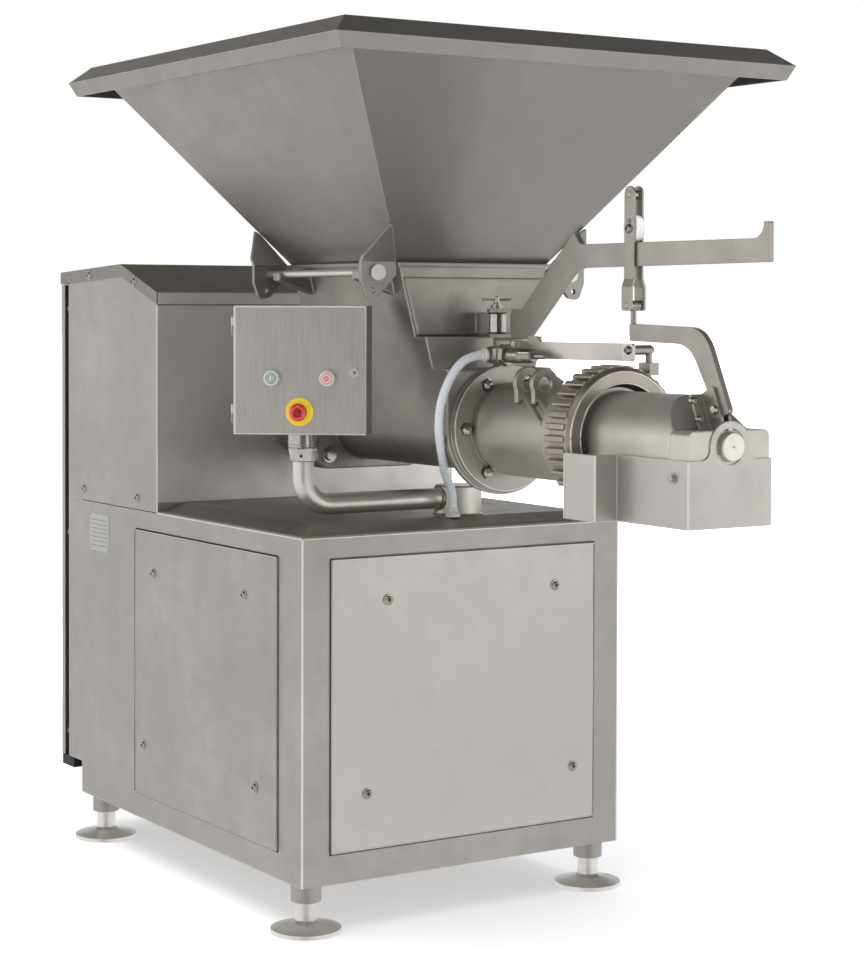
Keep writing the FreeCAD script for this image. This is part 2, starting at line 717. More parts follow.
def pulley(z, radius, hub, shaft_end):
    """A grooved pulley on its shaft, which runs forward to shaft_end."""
    back = PULLEY_X - PULLEY_WIDTH / 2
    front = PULLEY_X + PULLEY_WIDTH / 2
    depth = BELT_DEPTH + BELT_CLEARANCE - BELT_PROUD
    slot = BELT_WIDTH / 2 + BELT_CLEARANCE
    profile = [(back, 0), (back, radius)]
    for i in range(BELT_COUNT):
        at = PULLEY_X + (i - (BELT_COUNT - 1) / 2) * BELT_PITCH
        profile += [(at - slot, radius), (at - slot, radius - depth),
                    (at + slot, radius - depth), (at + slot, radius)]
    profile += [(front, radius), (front, hub), (front + 6, hub), (front + 6, SHAFT_R),
                (shaft_end, SHAFT_R), (shaft_end, 0)]
    return turned(profile, (0, 0, z), (1, 0, 0))


def belt_loop(grow):
    """The outline that a belt takes round both pulleys, as a face across X."""
    low_r = MOTOR_PULLEY_R + grow
    high_r = GEAR_PULLEY_R + grow
    nz = (MOTOR_PULLEY_R - GEAR_PULLEY_R) / (AXIS_Z - MOTOR_Z)
    ny = math.sqrt(1 - nz * nz)
    low = [V(0, s * ny * low_r, MOTOR_Z + nz * low_r) for s in (1, -1)]
    high = [V(0, s * ny * high_r, AXIS_Z + nz * high_r) for s in (1, -1)]
    edges = [Part.Arc(low[0], V(0, 0, MOTOR_Z - low_r), low[1]).toShape(),
             Part.makeLine(low[1], high[1]),
             Part.Arc(high[1], V(0, 0, AXIS_Z + high_r), high[0]).toShape(),
             Part.makeLine(high[0], low[0])]
    return Part.Face(Part.Wire(edges))


def belt():
    outer = belt_loop(BELT_PROUD).extrude(V(BELT_WIDTH, 0, 0))
    return outer.cut(belt_loop(BELT_PROUD - BELT_DEPTH).extrude(V(BELT_WIDTH, 0, 0)))


def gearbox():
    case_x = (-540.0, -200.0)
    case = slab(((-GEAR_HALF, GEAR_LOW, 50), (GEAR_HALF, GEAR_LOW, 50), (GEAR_HALF, GEAR_HIGH, 60),
                 (-GEAR_HALF, GEAR_HIGH, 60)), "X", *case_x)
    pieces = [case,
              rod((case_x[0] - 22, 0, AXIS_Z), (case_x[0] + 5, 0, AXIS_Z), 70),
              rod((case_x[1] - 5, 0, AXIS_Z), (TROUGH_BACK - 24, 0, AXIS_Z), GEAR_NECK_R),
              slab(back_flange(), "X", TROUGH_BACK - 24, TROUGH_BACK)]
    for side in (-1, 1):
        low, high = sorted((side * 110, side * 185))
        pieces.append(block((case_x[0] + 20, case_x[1] - 20), (low, high), (CAB_TOP, CAB_TOP + 22)))
        inner, outer = sorted((side * 110, side * 135))
        pieces.append(block((case_x[0] + 20, case_x[1] - 20), (inner, outer), (CAB_TOP, GEAR_LOW + 45)))
    whole = fused(pieces)
    whole = whole.cut(rod((case_x[0] - 23, 0, AXIS_Z), (case_x[0] + 60, 0, AXIS_Z), SHAFT_R + RUNNING_FIT))
    whole = whole.cut(rod((TROUGH_BACK - 70, 0, AXIS_Z), (TROUGH_BACK, 0, AXIS_Z), CORE_R + RUNNING_FIT))
    for y, z in BACK_BOLTS:
        for side in (-1, 1):
            whole = whole.cut(rod((TROUGH_BACK - 24, side * y, z), (TROUGH_BACK, side * y, z),
                                  BACK_BOLT_R + HOLE_CLEARANCE))
    return whole


def back_flange():
    low, wide, top = AXIS_Z - 119, AXIS_Z + 91, AXIS_Z + 161
    return ((-132, low, 30), (132, low, 30), (180, wide, 20), (180, top, 30), (-180, top, 30), (-180, wide, 20))


add("motor", motor())
add("motor_pulley", pulley(MOTOR_Z, MOTOR_PULLEY_R, 40, MOTOR_X[0] + 60))
add("gearbox_pulley", pulley(AXIS_Z, GEAR_PULLEY_R, 44, -500))
first_belt = PULLEY_X - (BELT_COUNT - 1) / 2 * BELT_PITCH - BELT_WIDTH / 2
add("drive_belts", *[moved(belt(), x=first_belt + i * BELT_PITCH) for i in range(BELT_COUNT)])
add("gearbox", gearbox())


# Trough

def trough_side(grow):
    """Where the trough's flat side leaves its round bottom, and its half width at the top."""
    half = TROUGH_HALF + grow
    radius = TROUGH_R + grow
    rise = TROUGH_TOP - AXIS_Z
    angle = math.atan2(rise, half) - math.acos(radius / math.hypot(half, rise))
    return half, radius, radius * math.cos(angle), AXIS_Z + radius * math.sin(angle)


def trough_half(z, grow=0.0):
    half, radius, y, low = trough_side(grow)
    return y + (z - low) / (TROUGH_TOP - low) * (half - y)


def trough_slab(grow, top, x0, x1):
    half, radius, y, low = trough_side(grow)
    wide = trough_half(top, grow)
    arc = Part.Arc(V(x0, -y, low), V(x0, 0, AXIS_Z - radius), V(x0, y, low)).toShape()
    sides = Part.makePolygon([V(x0, y, low), V(x0, wide, top), V(x0, -wide, top), V(x0, -y, low)])
    return Part.Face(Part.Wire([arc] + sides.Edges)).extrude(V(x1 - x0, 0, 0))


def nose_plate():
    """The flat plate at the trough's nose that the barrel bolts to."""
    half = NOSE_R
    arc = Part.Arc(V(NECK_FRONT, -half, AXIS_Z), V(NECK_FRONT, 0, AXIS_Z - half),
                   V(NECK_FRONT, half, AXIS_Z)).toShape()
    top = outline(((-half, AXIS_Z), (half, AXIS_Z), (half, NOSE_TOP, 32), (-half, NOSE_TOP, 32)),
                  "X", NECK_FRONT)
    upper = Part.Face(top)
    lower = Part.Face(Part.Wire([arc, Part.makeLine(V(NECK_FRONT, half, AXIS_Z), V(NECK_FRONT, -half, AXIS_Z))]))
    thick = V(NOSE_PLATE, 0, 0)
    return upper.extrude(thick).fuse(lower.extrude(thick))


def rod_lug(x, side):
    """A lug on the trough's side for a hopper rod: an eye on the far side, open-topped on the near."""
    reach = ROD_Y + ROD_R + 8
    root = trough_half(ROD_Z - 20) - TROUGH_WALL / 2
    low, high = sorted((side * root, side * reach))
    points = ((side * root, ROD_Z - 46), (side * root, ROD_Z - 4), (side * (ROD_Y - 15), ROD_Z + 3),
              (side * reach, ROD_Z + 3), (side * reach, ROD_Z - 14))
    lug = slab(points, "X", x, x + LUG_WIDTH)
    if side > 0:
        lug = lug.fuse(rod((x, ROD_Y, ROD_Z), (x + LUG_WIDTH, ROD_Y, ROD_Z), ROD_R + 8))
        return lug.cut(rod((x, ROD_Y, ROD_Z), (x + LUG_WIDTH, ROD_Y, ROD_Z), ROD_R + RUNNING_FIT))
    slot = ROD_R + 0.5
    lug = lug.cut(rod((x, -ROD_Y, ROD_Z), (x + LUG_WIDTH, -ROD_Y, ROD_Z), slot))
    return lug.cut(block((x, x + LUG_WIDTH), (-ROD_Y - slot, -ROD_Y + slot), (ROD_Z, ROD_Z + 40)))


def trough():
    pieces = [trough_slab(0, TROUGH_TOP, TROUGH_BACK, TROUGH_FRONT),
              trough_slab(0, STEP_Z, TROUGH_BACK + 50, STEP_FRONT),
              trough_slab(0, NECK_Z, TROUGH_BACK + 50, NECK_FRONT),
              slab(back_flange(), "X", TROUGH_BACK, TROUGH_BACK + TROUGH_FLANGE),
              nose_plate()]
    rim = block((TROUGH_BACK - 8, TROUGH_FRONT + RIM_WIDTH), (-TROUGH_HALF - 8, TROUGH_HALF + 8),
                (TROUGH_TOP - RIM_THICK, TROUGH_TOP))
    for side in (-1, 1):
        pieces += [rod_lug(x, side) for x in LUG_X]
    whole = fused(pieces + [rim, crane_bracket()])
    wall = TROUGH_WALL
    back = TROUGH_BACK + wall
    cavity = [trough_slab(-wall, TROUGH_TOP + 1, back, TROUGH_FRONT - wall),
              trough_slab(-wall, STEP_Z - wall, back, STEP_FRONT - wall),
              trough_slab(-wall, NECK_Z - wall, back, NECK_FRONT - wall),
              rod((TROUGH_BACK, 0, AXIS_Z), (back, 0, AXIS_Z), SEAL_R),
              rod((NECK_FRONT - 2 * wall, 0, AXIS_Z), (NECK_FRONT + NOSE_PLATE, 0, AXIS_Z), BARREL_BORE)]
    whole = whole.cut(cavity[0].fuse(cavity[1:]))
    for y, z in BACK_BOLTS:
        for side in (-1, 1):
            whole = whole.cut(rod((TROUGH_BACK, side * y, z), (TROUGH_BACK + TROUGH_FLANGE, side * y, z),
                                  BACK_BOLT_R + HOLE_CLEARANCE))
    return whole.removeSplitter()


def crane_bracket():
    """The lug on the trough's front that carries the crane arm's pivot pin."""
    half = 23.0
    web = slab(((TROUGH_FRONT - 4, -half), (PIVOT_X - 30, -half), (PIVOT_X, -PIVOT_BOSS_R),
                (PIVOT_X, PIVOT_BOSS_R), (PIVOT_X - 30, half), (TROUGH_FRONT - 4, half)),
               "Z", PIVOT_LOW, PIVOT_HIGH)
    boss = rod((PIVOT_X, 0, PIVOT_LOW), (PIVOT_X, 0, PIVOT_HIGH), PIVOT_BOSS_R)
    hole = rod((PIVOT_X, 0, PIVOT_LOW), (PIVOT_X, 0, PIVOT_HIGH), PIVOT_PIN_R + 0.1)
    return web.fuse(boss).cut(hole)


add("trough", trough())
add("shaft_seal", tube((TROUGH_BACK, 0, AXIS_Z), (TROUGH_BACK + TROUGH_WALL, 0, AXIS_Z), SEAL_R,
                       CORE_R + RUNNING_FIT))
back_bolts = []
for y, z in BACK_BOLTS:
    for side in (-1, 1):
        back_bolts.append(hex_bolt((TROUGH_BACK + TROUGH_FLANGE, side * y, z), (1, 0, 0), BACK_BOLT_R, 4,
                                   TROUGH_FLANGE + 18))


# Barrel

def lug_ear(x):
    reach = math.hypot(EAR_Y, EAR_Z - AXIS_Z)
    ny, nz = EAR_Y / reach, (EAR_Z - AXIS_Z) / reach
    foot_y, foot_z = ny * (BARREL_R - 4), AXIS_Z + nz * (BARREL_R - 4)
    web = slab(((foot_y - nz * 44, foot_z + ny * 44), (foot_y + nz * 44, foot_z - ny * 44),
                (EAR_Y + nz * EAR_R, EAR_Z - ny * EAR_R), (EAR_Y - nz * EAR_R, EAR_Z + ny * EAR_R)),
               "X", x, x + EAR_THICK)
    return web.fuse(rod((x, EAR_Y, EAR_Z), (x + EAR_THICK, EAR_Y, EAR_Z), EAR_R))


def barrel():
    start = NECK_FRONT + NOSE_PLATE
    face = start + BARREL_FLANGE
    outer = turned(((start, 0), (start, BARREL_FLANGE_R), (face, BARREL_FLANGE_R), (face, BARREL_NECK_R),
                    (face + 30, BARREL_R), (HEAD_START - 25, BARREL_R), (HEAD_START, HEAD_R),
                    (BARREL_END, HEAD_R), (BARREL_END, 0)), (0, 0, AXIS_Z), (1, 0, 0))
    whole = fused([outer] + [lug_ear(x) for x in EAR_X])
    bore = turned(((start, 0), (start, BARREL_BORE), (HEAD_START, BARREL_BORE), (CHAMBER_START, CHAMBER_R),
                   (PLATE_X, CHAMBER_R), (PLATE_X, PLATE_R + PLATE_FIT), (BARREL_END, PLATE_R + PLATE_FIT),
                   (BARREL_END, 0)), (0, 0, AXIS_Z), (1, 0, 0))
    whole = whole.cut(bore)
    for x in EAR_X:
        whole = whole.cut(rod((x, EAR_Y, EAR_Z), (x + EAR_THICK, EAR_Y, EAR_Z), EAR_BORE))
    for stud in barrel_studs(HOLE_CLEARANCE, 20, 0):
        whole = whole.cut(stud)
    return whole


def barrel_studs(clearance, back, front):
    face = NECK_FRONT + NOSE_PLATE + BARREL_FLANGE
    studs = []
    for i in range(BARREL_BOLTS):
        angle = math.radians(360 / BARREL_BOLTS * i)
        y, z = BARREL_BOLT_R * math.cos(angle), AXIS_Z + BARREL_BOLT_R * math.sin(angle)
        studs.append(rod((face - back, y, z), (face + front + 0.01, y, z), BARREL_STUD_R + clearance))
    return studs


def barrel_nuts():
    face = NECK_FRONT + NOSE_PLATE + BARREL_FLANGE
    nuts = []
    for i in range(BARREL_BOLTS):
        angle = math.radians(360 / BARREL_BOLTS * i)
        y, z = BARREL_BOLT_R * math.cos(angle), AXIS_Z + BARREL_BOLT_R * math.sin(angle)
        nuts.append(acorn_nut((face, y, z), (1, 0, 0), BARREL_STUD_R, BARREL_FLANGE))
    return nuts


add("barrel", barrel())
add("trough_bolts", *back_bolts, *barrel_nuts())


# Feed screw, spindle, knife and plate

def flight():
    """One helical blade along the feed screw, lofted in quarter turns between its sections."""
    turns = (SCREW_END - SCREW_START - FLIGHT_THICK) / SCREW_PITCH
    helix = Part.makeHelix(SCREW_PITCH, turns * SCREW_PITCH, (CORE_R + SCREW_OUTER) / 2)
    inner, outer = CORE_R - 2, SCREW_OUTER
    half = FLIGHT_THICK / 2
    section = Part.makePolygon([V(inner, 0, -half), V(outer, 0, -half * 0.6), V(outer, 0, half * 0.6),
                                V(inner, 0, half), V(inner, 0, -half)])
    blade = Part.Wire(helix).makePipeShell([section], True, True)
    blade.Placement = FreeCAD.Placement(V(SCREW_START + half, 0, AXIS_Z),
                                        FreeCAD.Rotation(V(0, 0, 1), V(1, 0, 0)))
    return blade


def spindle():
    """The square stud on the screw's end that drives the knife, with its journal in the plate."""
    half = SPINDLE_SQUARE / 2
    square = block((SCREW_END - 2, PLATE_X), (-half, half), (AXIS_Z - half, AXIS_Z + half))
    start = PLATE_X - 0.4
    tip = turned(((start, 0), (start, SPINDLE_R), (PLATE_X + PLATE_THICK - 3, SPINDLE_R),
                  (PLATE_X + PLATE_THICK, SPINDLE_R - 3), (PLATE_X + PLATE_THICK, 0)), (0, 0, AXIS_Z), (1, 0, 0))
    return square.fuse(tip)


def feed_screw():
    core = rod((SCREW_START, 0, AXIS_Z), (SCREW_END, 0, AXIS_Z), CORE_R)
    screw = core.fuse(flight())
    screw = screw.cut(rod((SCREW_START, 0, AXIS_Z), (SCREW_START + 60, 0, AXIS_Z), 20.1))
    return screw.fuse(spindle())


def drive_shaft():
    end = SCREW_START
    stem = turned(((TROUGH_BACK - 60, 0), (TROUGH_BACK - 60, CORE_R), (end, CORE_R), (end, 20),
                   (end + 58, 20), (end + 58, 0)), (0, 0, AXIS_Z), (1, 0, 0))
    return stem


def knife():
    back = PLATE_X - KNIFE_THICK - 0.5
    front = PLATE_X - 0.5
    hub = rod((back, 0, AXIS_Z), (front, 0, AXIS_Z), KNIFE_HUB)
    half = KNIFE_BLADE / 2
    blades = []
    for i in range(4):
        blade = slab(((-half, 0), (-half, KNIFE_R - 8), (half * 0.3, KNIFE_R), (half, 20)), "X", back, front)
        blade.translate(V(0, 0, AXIS_Z))
        blades.append(turned_about_x(blade, 90 * i))
    whole = fused([hub] + blades)
    square = SPINDLE_SQUARE / 2 + 0.1
    return whole.cut(block((back, front), (-square, square), (AXIS_Z - square, AXIS_Z + square)))


def grinding_plate():
    start = PLATE_X + 0.1
    plate = rod((start, 0, AXIS_Z), (PLATE_X + PLATE_THICK, 0, AXIS_Z), PLATE_R)
    holes = [rod((start, 0, AXIS_Z), (PLATE_X + PLATE_THICK, 0, AXIS_Z), SPINDLE_R + RUNNING_FIT)]
    for radius, count in PLATE_ROWS:
        hole = rod((start, 0, AXIS_Z + radius), (PLATE_X + PLATE_THICK, 0, AXIS_Z + radius), PLATE_HOLE_R)
        holes += [turned_about_x(hole, 360 / count * i) for i in range(count)]
    return plate.cut(holes)


add("feed_screw", feed_screw())
add("drive_shaft", drive_shaft())
add("knife", knife())
add("grinding_plate", grinding_plate())


# Ring nut

def ring_nut():
    body = turned(((RING_BACK, RING_BORE), (RING_BACK, RING_ROOT_R), (TOOTH_FRONT - 6, RING_ROOT_R),
                   (TOOTH_FRONT - 2, RING_TIP_R - 4), (TOOTH_FRONT + 4, RING_TIP_R - 4),
                   (RING_FRONT, RING_FACE_R), (RING_FRONT, RING_LIP_R), (RING_LIP_X, RING_LIP_R),
                   (RING_LIP_X, RING_BORE)), (0, 0, AXIS_Z), (1, 0, 0))
    half = TOOTH_WIDTH / 2
    low = AXIS_Z + RING_ROOT_R - 2
    tip = AXIS_Z + RING_TIP_R - 0.2
    tooth = slab(((-half, low), (half, low), (half * 0.9, tip - 2), (half * 0.6, tip),
                  (-half * 0.6, tip), (-half * 0.9, tip - 2)), "X", RING_BACK + 2, TOOTH_FRONT)
    teeth = [turned_about_x(tooth, 360 / TOOTH_COUNT * i) for i in range(TOOTH_COUNT)]
    return body.fuse(teeth)


add("ring_nut", ring_nut())


# Discharge bridge

def bridge_body(inset, start):
    """The half-round hood, its slanted end and its square deck, drawn in by inset."""
    radius = BRIDGE_R - inset
    half = DECK_HALF - inset
    bottom = BRIDGE_BOTTOM - (1 if inset else 0)
    deck = DECK_Z - inset
    end = BRIDGE_END - inset
    arch = Part.Arc(V(start, radius, AXIS_Z), V(start, 0, AXIS_Z + radius), V(start, -radius, AXIS_Z)).toShape()
    legs = Part.makePolygon([V(start, -radius, AXIS_Z), V(start, -radius, bottom), V(start, radius, bottom),
                             V(start, radius, AXIS_Z)])
    hood = Part.Face(Part.Wire([arch] + legs.Edges)).extrude(V(end - start, 0, 0))
    top = AXIS_Z + BRIDGE_R
    slant = inset * math.sqrt(2)
    side = slab(((start, bottom), (start, top + 1), (BRIDGE_TOP_END - slant, top),
                 (BRIDGE_TOP_END - slant + top - deck, deck), (end, deck), (end, bottom)),
                "Y", -radius, radius)
    hood = hood.common(side)
    box_start = BRIDGE_TOP_END + top - DECK_Z - slant
    box = slab(((-half, bottom), (half, bottom), (half, deck, 12), (-half, deck, 12)), "X", box_start, end)
    return hood.fuse(box)


def bridge():
    flange_x0, flange_x1 = BRIDGE_FLANGE_X
    neck = turned(((flange_x0, BRIDGE_R - BRIDGE_WALL), (flange_x0, BRIDGE_FLANGE_R),
                   (flange_x1, BRIDGE_FLANGE_R), (flange_x1, BRIDGE_R), (BRIDGE_START + 3, BRIDGE_R),
                   (BRIDGE_START + 3, BRIDGE_R - BRIDGE_WALL)), (0, 0, AXIS_Z), (1, 0, 0))
    hood = bridge_body(0, BRIDGE_START).cut(bridge_body(BRIDGE_WALL, BRIDGE_START - 5))
    whole = fused([hood, neck])
    pin = rod((BRIDGE_END - 20, 0, AXIS_Z), (BRIDGE_END + 1, 0, AXIS_Z), PIN_R + 0.1)
    whole = whole.cut(pin)
    for side in (-1, 1):
        x, z = GUARD_BOLT
        whole = whole.cut(rod((x, side * (DECK_HALF - 10), z), (x, side * (DECK_HALF + 1), z),
                              5 + HOLE_CLEARANCE))
    return whole


def guard():
    """The bent sheet round the outlet, open below, with an eye whose three keepers ride on the bridge's pin."""
    t = GUARD_SHEET
    front = BRIDGE_END
    half = GUARD_HALF
    plan = ((GUARD_BACK, -GUARD_WIDE), (GUARD_STEP_X + t, -GUARD_WIDE), (GUARD_STEP_X + t, -half),
            (front + t, -half), (front + t, half), (GUARD_STEP_X + t, half), (GUARD_STEP_X + t, GUARD_WIDE),
            (GUARD_BACK, GUARD_WIDE), (GUARD_BACK, GUARD_WIDE - t), (GUARD_STEP_X, GUARD_WIDE - t),
            (GUARD_STEP_X, half - t), (front, half - t), (front, t - half), (GUARD_STEP_X, t - half),
            (GUARD_STEP_X, t - GUARD_WIDE), (GUARD_BACK, t - GUARD_WIDE))
    sheet = slab(plan, "Z", GUARD_BOTTOM, GUARD_TOP)
    r, foot = GUARD_LUG_R, GUARD_LUG_R + 2 * GUARD_FILLET
    eye = slab(((-foot, GUARD_TOP - 30), (foot, GUARD_TOP - 30), (foot, GUARD_TOP), (r, GUARD_TOP, GUARD_FILLET),
                (r, AXIS_Z), (-r, AXIS_Z), (-r, GUARD_TOP, GUARD_FILLET), (-foot, GUARD_TOP)),
               "X", front, front + t)
    eye = eye.fuse(rod((front, 0, AXIS_Z), (front + t, 0, AXIS_Z), r))
    whole = fused([sheet, eye])
    whole = whole.cut(rod((front - 1, 0, AXIS_Z), (front + t + 1, 0, AXIS_Z), GUARD_EYE_R))
    keeper = block((front, front + t), (-5, 5), (AXIS_Z + PIN_R + 0.6, AXIS_Z + GUARD_EYE_R + 1))
    whole = whole.fuse([turned_about_x(keeper, angle) for angle in (0, 125, 235)])
    for side in (-1, 1):
        x, z = GUARD_BOLT
        whole = whole.cut(rod((x, side * (half - 10), z), (x, side * (half + 5), z), 5 + HOLE_CLEARANCE))
    return whole


def guard_bolts():
    x, z = GUARD_BOLT
    bolts = []
    for side in (-1, 1):
        bolts.append(hex_bolt((x, side * GUARD_HALF, z), (0, side, 0), 5, 1.5, 10))
    return bolts


add("bridge_housing", bridge())
add("bridge_pin", turned(((BRIDGE_END - 18, 0), (BRIDGE_END - 18, PIN_R), (BRIDGE_END + PIN_OUT - 2, PIN_R),
                          (BRIDGE_END + PIN_OUT, PIN_R - 2), (BRIDGE_END + PIN_OUT, 2.5),
                          (BRIDGE_END + PIN_OUT - 4, 0)), (0, 0, AXIS_Z), (1, 0, 0)))
add("discharge_guard", guard())


# Crane arm, trolley and lifting arm

def crane_arm():
    low = PIVOT_LOW - FORK_PLATE - 1
    high = PIVOT_HIGH + FORK_PLATE - 1
    hook = RAIL_END - 12
    arm = slab(((738, low, 6), (800, low, 10), (971, RAIL_LOW, 75), (RAIL_END, RAIL_LOW + 4, 3),
                (RAIL_END, RAIL_TOP + RAIL_HOOK, 3), (hook, RAIL_TOP + RAIL_HOOK), (hook, RAIL_TOP, RAIL_HOOK - 1),
                (985, RAIL_TOP, 14), (964, RAIL_TOP + 26, 3), (778, high), (738, high)),
               "Y", -ARM_THICK / 2, ARM_THICK / 2)
    pieces = [arm]
    for z in (PIVOT_LOW - 0.5 - FORK_PLATE, PIVOT_HIGH + 0.5):
        fork = slab(((PIVOT_X, -FORK_HALF), (742, -ARM_THICK / 2), (776, -ARM_THICK / 2),
                     (776, ARM_THICK / 2), (742, ARM_THICK / 2), (PIVOT_X, FORK_HALF)),
                    "Z", z, z + FORK_PLATE)
        fork = fork.fuse(rod((PIVOT_X, 0, z), (PIVOT_X, 0, z + FORK_PLATE), FORK_HALF))
        pieces.append(fork.cut(rod((PIVOT_X, 0, z), (PIVOT_X, 0, z + FORK_PLATE), PIVOT_PIN_R + 0.1)))
    return fused(pieces)


def pivot_pin():
    low = PIVOT_LOW - FORK_PLATE - 3
    high = PIVOT_HIGH + FORK_PLATE + 2
    pin = turned(((low, 0), (low, PIVOT_PIN_R), (high, PIVOT_PIN_R), (high, PIVOT_PIN_R + 5),
                  (high + 6, PIVOT_PIN_R + 5), (high + 6, 0)), (PIVOT_X, 0, 0), (0, 0, 1))
    return pin.cut(rod((PIVOT_X, 0, high - 16), (PIVOT_X, 0, high + 7), 5 + RUNNING_FIT))


def t_handle():
    base = PIVOT_HIGH + FORK_PLATE + 2
    stem = turned(((base - 14, 0), (base - 14, 5), (base + 7, 5), (base + 7, 9), (base + 19, 9),
                   (base + 19, 0)), (PIVOT_X, 0, 0), (0, 0, 1))
    bar = rod((PIVOT_X - 18, -25, base + 13), (PIVOT_X + 18, 25, base + 13), 3.5)
    return stem.fuse(bar)


def strap_plate(side):
    """A trolley side plate, round at both ends: close to the rail above, joggled outwards below."""
    a, t, d = STRAP_IN, STRAP_THICK, STRAP_SPREAD
    low, knee, top = STRAP_BOTTOM, STRAP_KNEE, STRAP_TOP
    points = ((side * a, top), (side * (a + t), top), (side * (a + t), knee + STRAP_JOGGLE),
              (side * (a + t + d), knee), (side * (a + t + d), low), (side * (a + d), low),
              (side * (a + d), knee - 2), (side * a, knee + STRAP_JOGGLE - 2))
    half = STRAP_WIDTH / 2
    plate = slab(points, "X", TROLLEY_X - half, TROLLEY_X + half)
    plate = plate.common(slab(((TROLLEY_X - half, low, 6), (TROLLEY_X + half, low, 6),
                               (TROLLEY_X + half, top, half), (TROLLEY_X - half, top, half)), "Y", -60, 60))
    for z in TROLLEY_BOLTS:
        plate = plate.cut(rod((TROLLEY_X, -60, z), (TROLLEY_X, 60, z), AXLE_R + 0.1))
    return plate


def trolley_bolt(z, reach):
    """A through bolt across the trolley, with a washer and a domed head at each end."""
    half = ((-reach, 0), (-reach, 6), (-reach + 3, 8), (-reach + 6, 9), (-reach + 8, 9), (-reach + 8, AXLE_R))
    points = list(half) + [(-along, radius) for along, radius in reversed(half)]
    return turned(points, (TROLLEY_X, 0, z), (0, 1, 0))


def roller():
    half = ROLLER_HALF
    return turned(((-half, AXLE_R + RUNNING_FIT), (-half, ROLLER_R - 1), (1 - half, ROLLER_R),
                   (half - 1, ROLLER_R), (half, ROLLER_R - 1), (half, AXLE_R + RUNNING_FIT)),
                  (TROLLEY_X, 0, AXLE_Z), (0, 1, 0))


def lifting_arm():
    """The bent arm that carries the bridge, and the rod that hangs its end from the trolley's low bolt."""
    back, bolt = TROLLEY_X - 5, TROLLEY_BOLTS[0]
    arm = slab(((back, LIFT_LOW), (1335, LIFT_LOW - 4.5, 69), (1422, 1124, 6), (1453, 1138, 6),
                (1379, LIFT_HIGH - 6, 72), (back, LIFT_HIGH)), "Y", -LIFT_THICK / 2, LIFT_THICK / 2)
    stem = rod((TROLLEY_X, 0, LIFT_LOW), (TROLLEY_X, 0, bolt), LIFT_ROD_R)
    eye = rod((TROLLEY_X, -LIFT_THICK / 2, bolt), (TROLLEY_X, LIFT_THICK / 2, bolt), 10)
    arm = fused([arm, stem, eye]).cut(rod((TROLLEY_X, -20, bolt), (TROLLEY_X, 20, bolt), AXLE_R + 0.1))
    x, z = LIFT_BOLT
    return arm.cut(rod((x, -20, z), (x, 20, z), 5.1))


BRACKET_EDGE = ((1380.0, 1170.0), (1409.0, DECK_Z))


def bracket_out():
    """The way that the bracket's flanges face, across their sloping edge."""
    (x0, z0), (x1, z1) = BRACKET_EDGE
    return V(z1 - z0, 0, x0 - x1).normalize()


def arm_bracket():
    """Two angles that stand on the deck and grip the lifting arm's foot between their cheeks."""
    gap = LIFT_THICK / 2 + 0.2
    top, foot = BRACKET_EDGE
    out = bracket_out().multiply(BRACKET_THICK)
    x, z = LIFT_BOLT
    angles = []
    for side in (-1, 1):
        low, high = sorted((side * gap, side * (gap + BRACKET_THICK)))
        cheek = slab((top, (1412, 1187, 6), (1437, 1130), (1443, DECK_Z), foot), "Y", low, high)
        low, high = sorted((side * gap, side * BRACKET_HALF))
        flange = slab((top, foot, (foot[0] + out.x, DECK_Z), (top[0] + out.x, top[1] + out.z)), "Y", low, high)
        angles.append(cheek.fuse(flange).cut(rod((x, -30, z), (x, 30, z), 5.1)))
    return angles


def bracket_nuts():
    out = bracket_out()
    top, foot = BRACKET_EDGE
    nuts = []
    for side in (-1, 1):
        for share in (0.16, 0.66):
            x = top[0] + share * (foot[0] - top[0]) + out.x * BRACKET_THICK
            z = top[1] + share * (foot[1] - top[1]) + out.z * BRACKET_THICK
            nuts.append(acorn_nut((x, side * 26, z), (out.x, 0, out.z), 4.5, 0))
    half = ((-20, 0), (-20, 7), (-15, 9), (-12.4, 9), (-12.4, 5))
    points = list(half) + [(-along, radius) for along, radius in reversed(half)]
    nuts.append(turned(points, (LIFT_BOLT[0], 0, LIFT_BOLT[1]), (0, 1, 0)))
    return nuts


add("crane_arm", crane_arm())
add("crane_pivot_pin", pivot_pin())
add("t_handle", t_handle())
add("trolley_straps", strap_plate(-1), strap_plate(1))
upper = STRAP_IN + STRAP_THICK + 8
lower = upper + STRAP_SPREAD
add("trolley_bolts", trolley_bolt(TROLLEY_BOLTS[0], lower), trolley_bolt(TROLLEY_BOLTS[1], upper),
    trolley_bolt(TROLLEY_BOLTS[2], upper),
    *[tube((TROLLEY_X, s * (LIFT_THICK / 2 + 0.2), TROLLEY_BOLTS[0]),
           (TROLLEY_X, s * (STRAP_IN + STRAP_SPREAD), TROLLEY_BOLTS[0]), 11, AXLE_R + 0.1) for s in (-1, 1)],
    tube((TROLLEY_X, -STRAP_IN, TROLLEY_BOLTS[2]), (TROLLEY_X, STRAP_IN, TROLLEY_BOLTS[2]), 10, AXLE_R + 0.1))
add("trolley_roller", roller())
add("lifting_arm", lifting_arm())
add("arm_bracket", *arm_bracket())
add("bridge_fasteners", *bracket_nuts(), *guard_bolts())


# Ring lock strap, its bracket and the sensor

def bowed(offset):
    """Three points of the strap's arc, moved sideways by offset: start, middle and end."""
    start = V(LOCK_PIN_X + 6, 0, 0)
    end = V(LOCK_BEND[0], LOCK_BEND[1], 0)
    run = end.sub(start)
    across = V(run.y, -run.x, 0).normalize()
    middle = start.add(end).multiply(0.5).add(V(across).multiply(LOCK_BOW))
    return [p.add(V(across).multiply(offset)) for p in (start, middle, end)]


